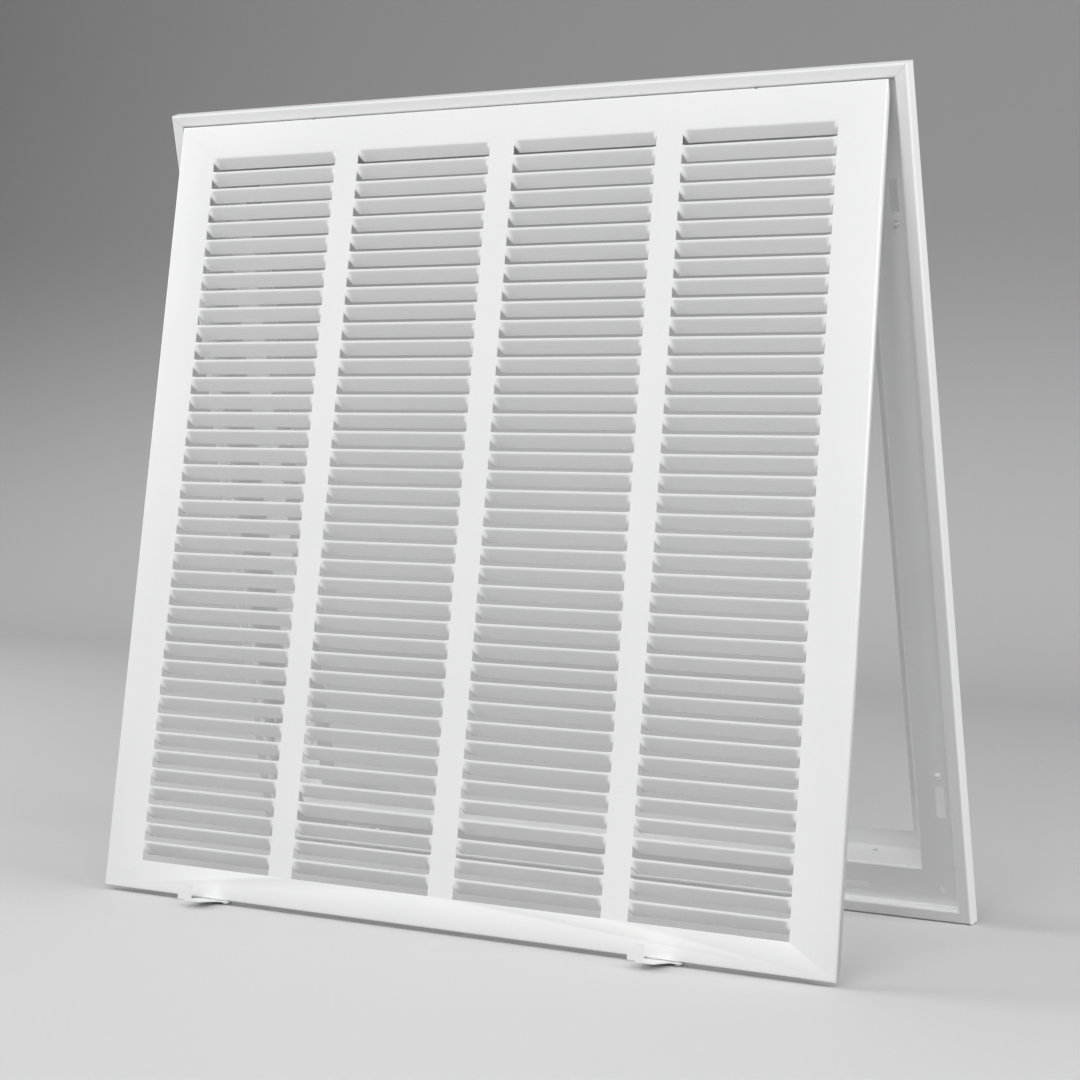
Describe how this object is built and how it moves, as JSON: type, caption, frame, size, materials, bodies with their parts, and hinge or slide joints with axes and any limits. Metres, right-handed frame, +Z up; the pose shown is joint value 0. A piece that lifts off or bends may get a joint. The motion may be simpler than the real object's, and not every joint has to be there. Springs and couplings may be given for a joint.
{
  "type": "return air filter grille",
  "caption": "Square return air grille with a top-hinged louvered door, a recessed wall frame with a filter neck, and swing latches under the door.",
  "frame": {"origin": "on the floor, under the middle of the part's box", "axes": "+X to the right as seen from the front, the door faces -Y, +Z up; the part stands open on the floor as an inverted V, the frame leaning forward at the top and the door leaning back"},
  "size_m": [0.5778, 0.2598, 0.5623],
  "materials": {
    "frame_paint": "satin white powder coat",
    "door_paint": "satin white powder coat",
    "latch_paint": "satin white powder coat",
    "rivet_steel": "satin white over steel"
  },
  "bodies": {
    "frame": {"frame_top_rail": "frame_paint", "frame_bottom_rail": "frame_paint", "frame_left_stile": "frame_paint", "frame_right_stile": "frame_paint"},
    "door": {"door_panel": "door_paint", "latch_rivet_left": "rivet_steel", "latch_rivet_right": "rivet_steel"},
    "left_latch": {"latch_left": "latch_paint"},
    "right_latch": {"latch_right": "latch_paint"}
  },
  "joints": [
    {"name": "door_hinge", "type": "hinge", "parent": "frame", "child": "door", "pos_m": [0, -0.02627, 0.55079], "axis": [1, 0, 0], "range_deg": [-14.5, 21.7]},
    {"name": "left_latch_turn", "type": "hinge", "parent": "door", "child": "left_latch", "pos_m": [-0.1715, -0.10635, 0.00142], "axis": [0, 0.1344, 0.9909], "range_deg": [-38, 0]},
    {"name": "right_latch_turn", "type": "hinge", "parent": "door", "child": "right_latch", "pos_m": [0.1715, -0.10635, 0.00142], "axis": [0, 0.1344, 0.9909], "range_deg": [-38, 0]}
  ]
}
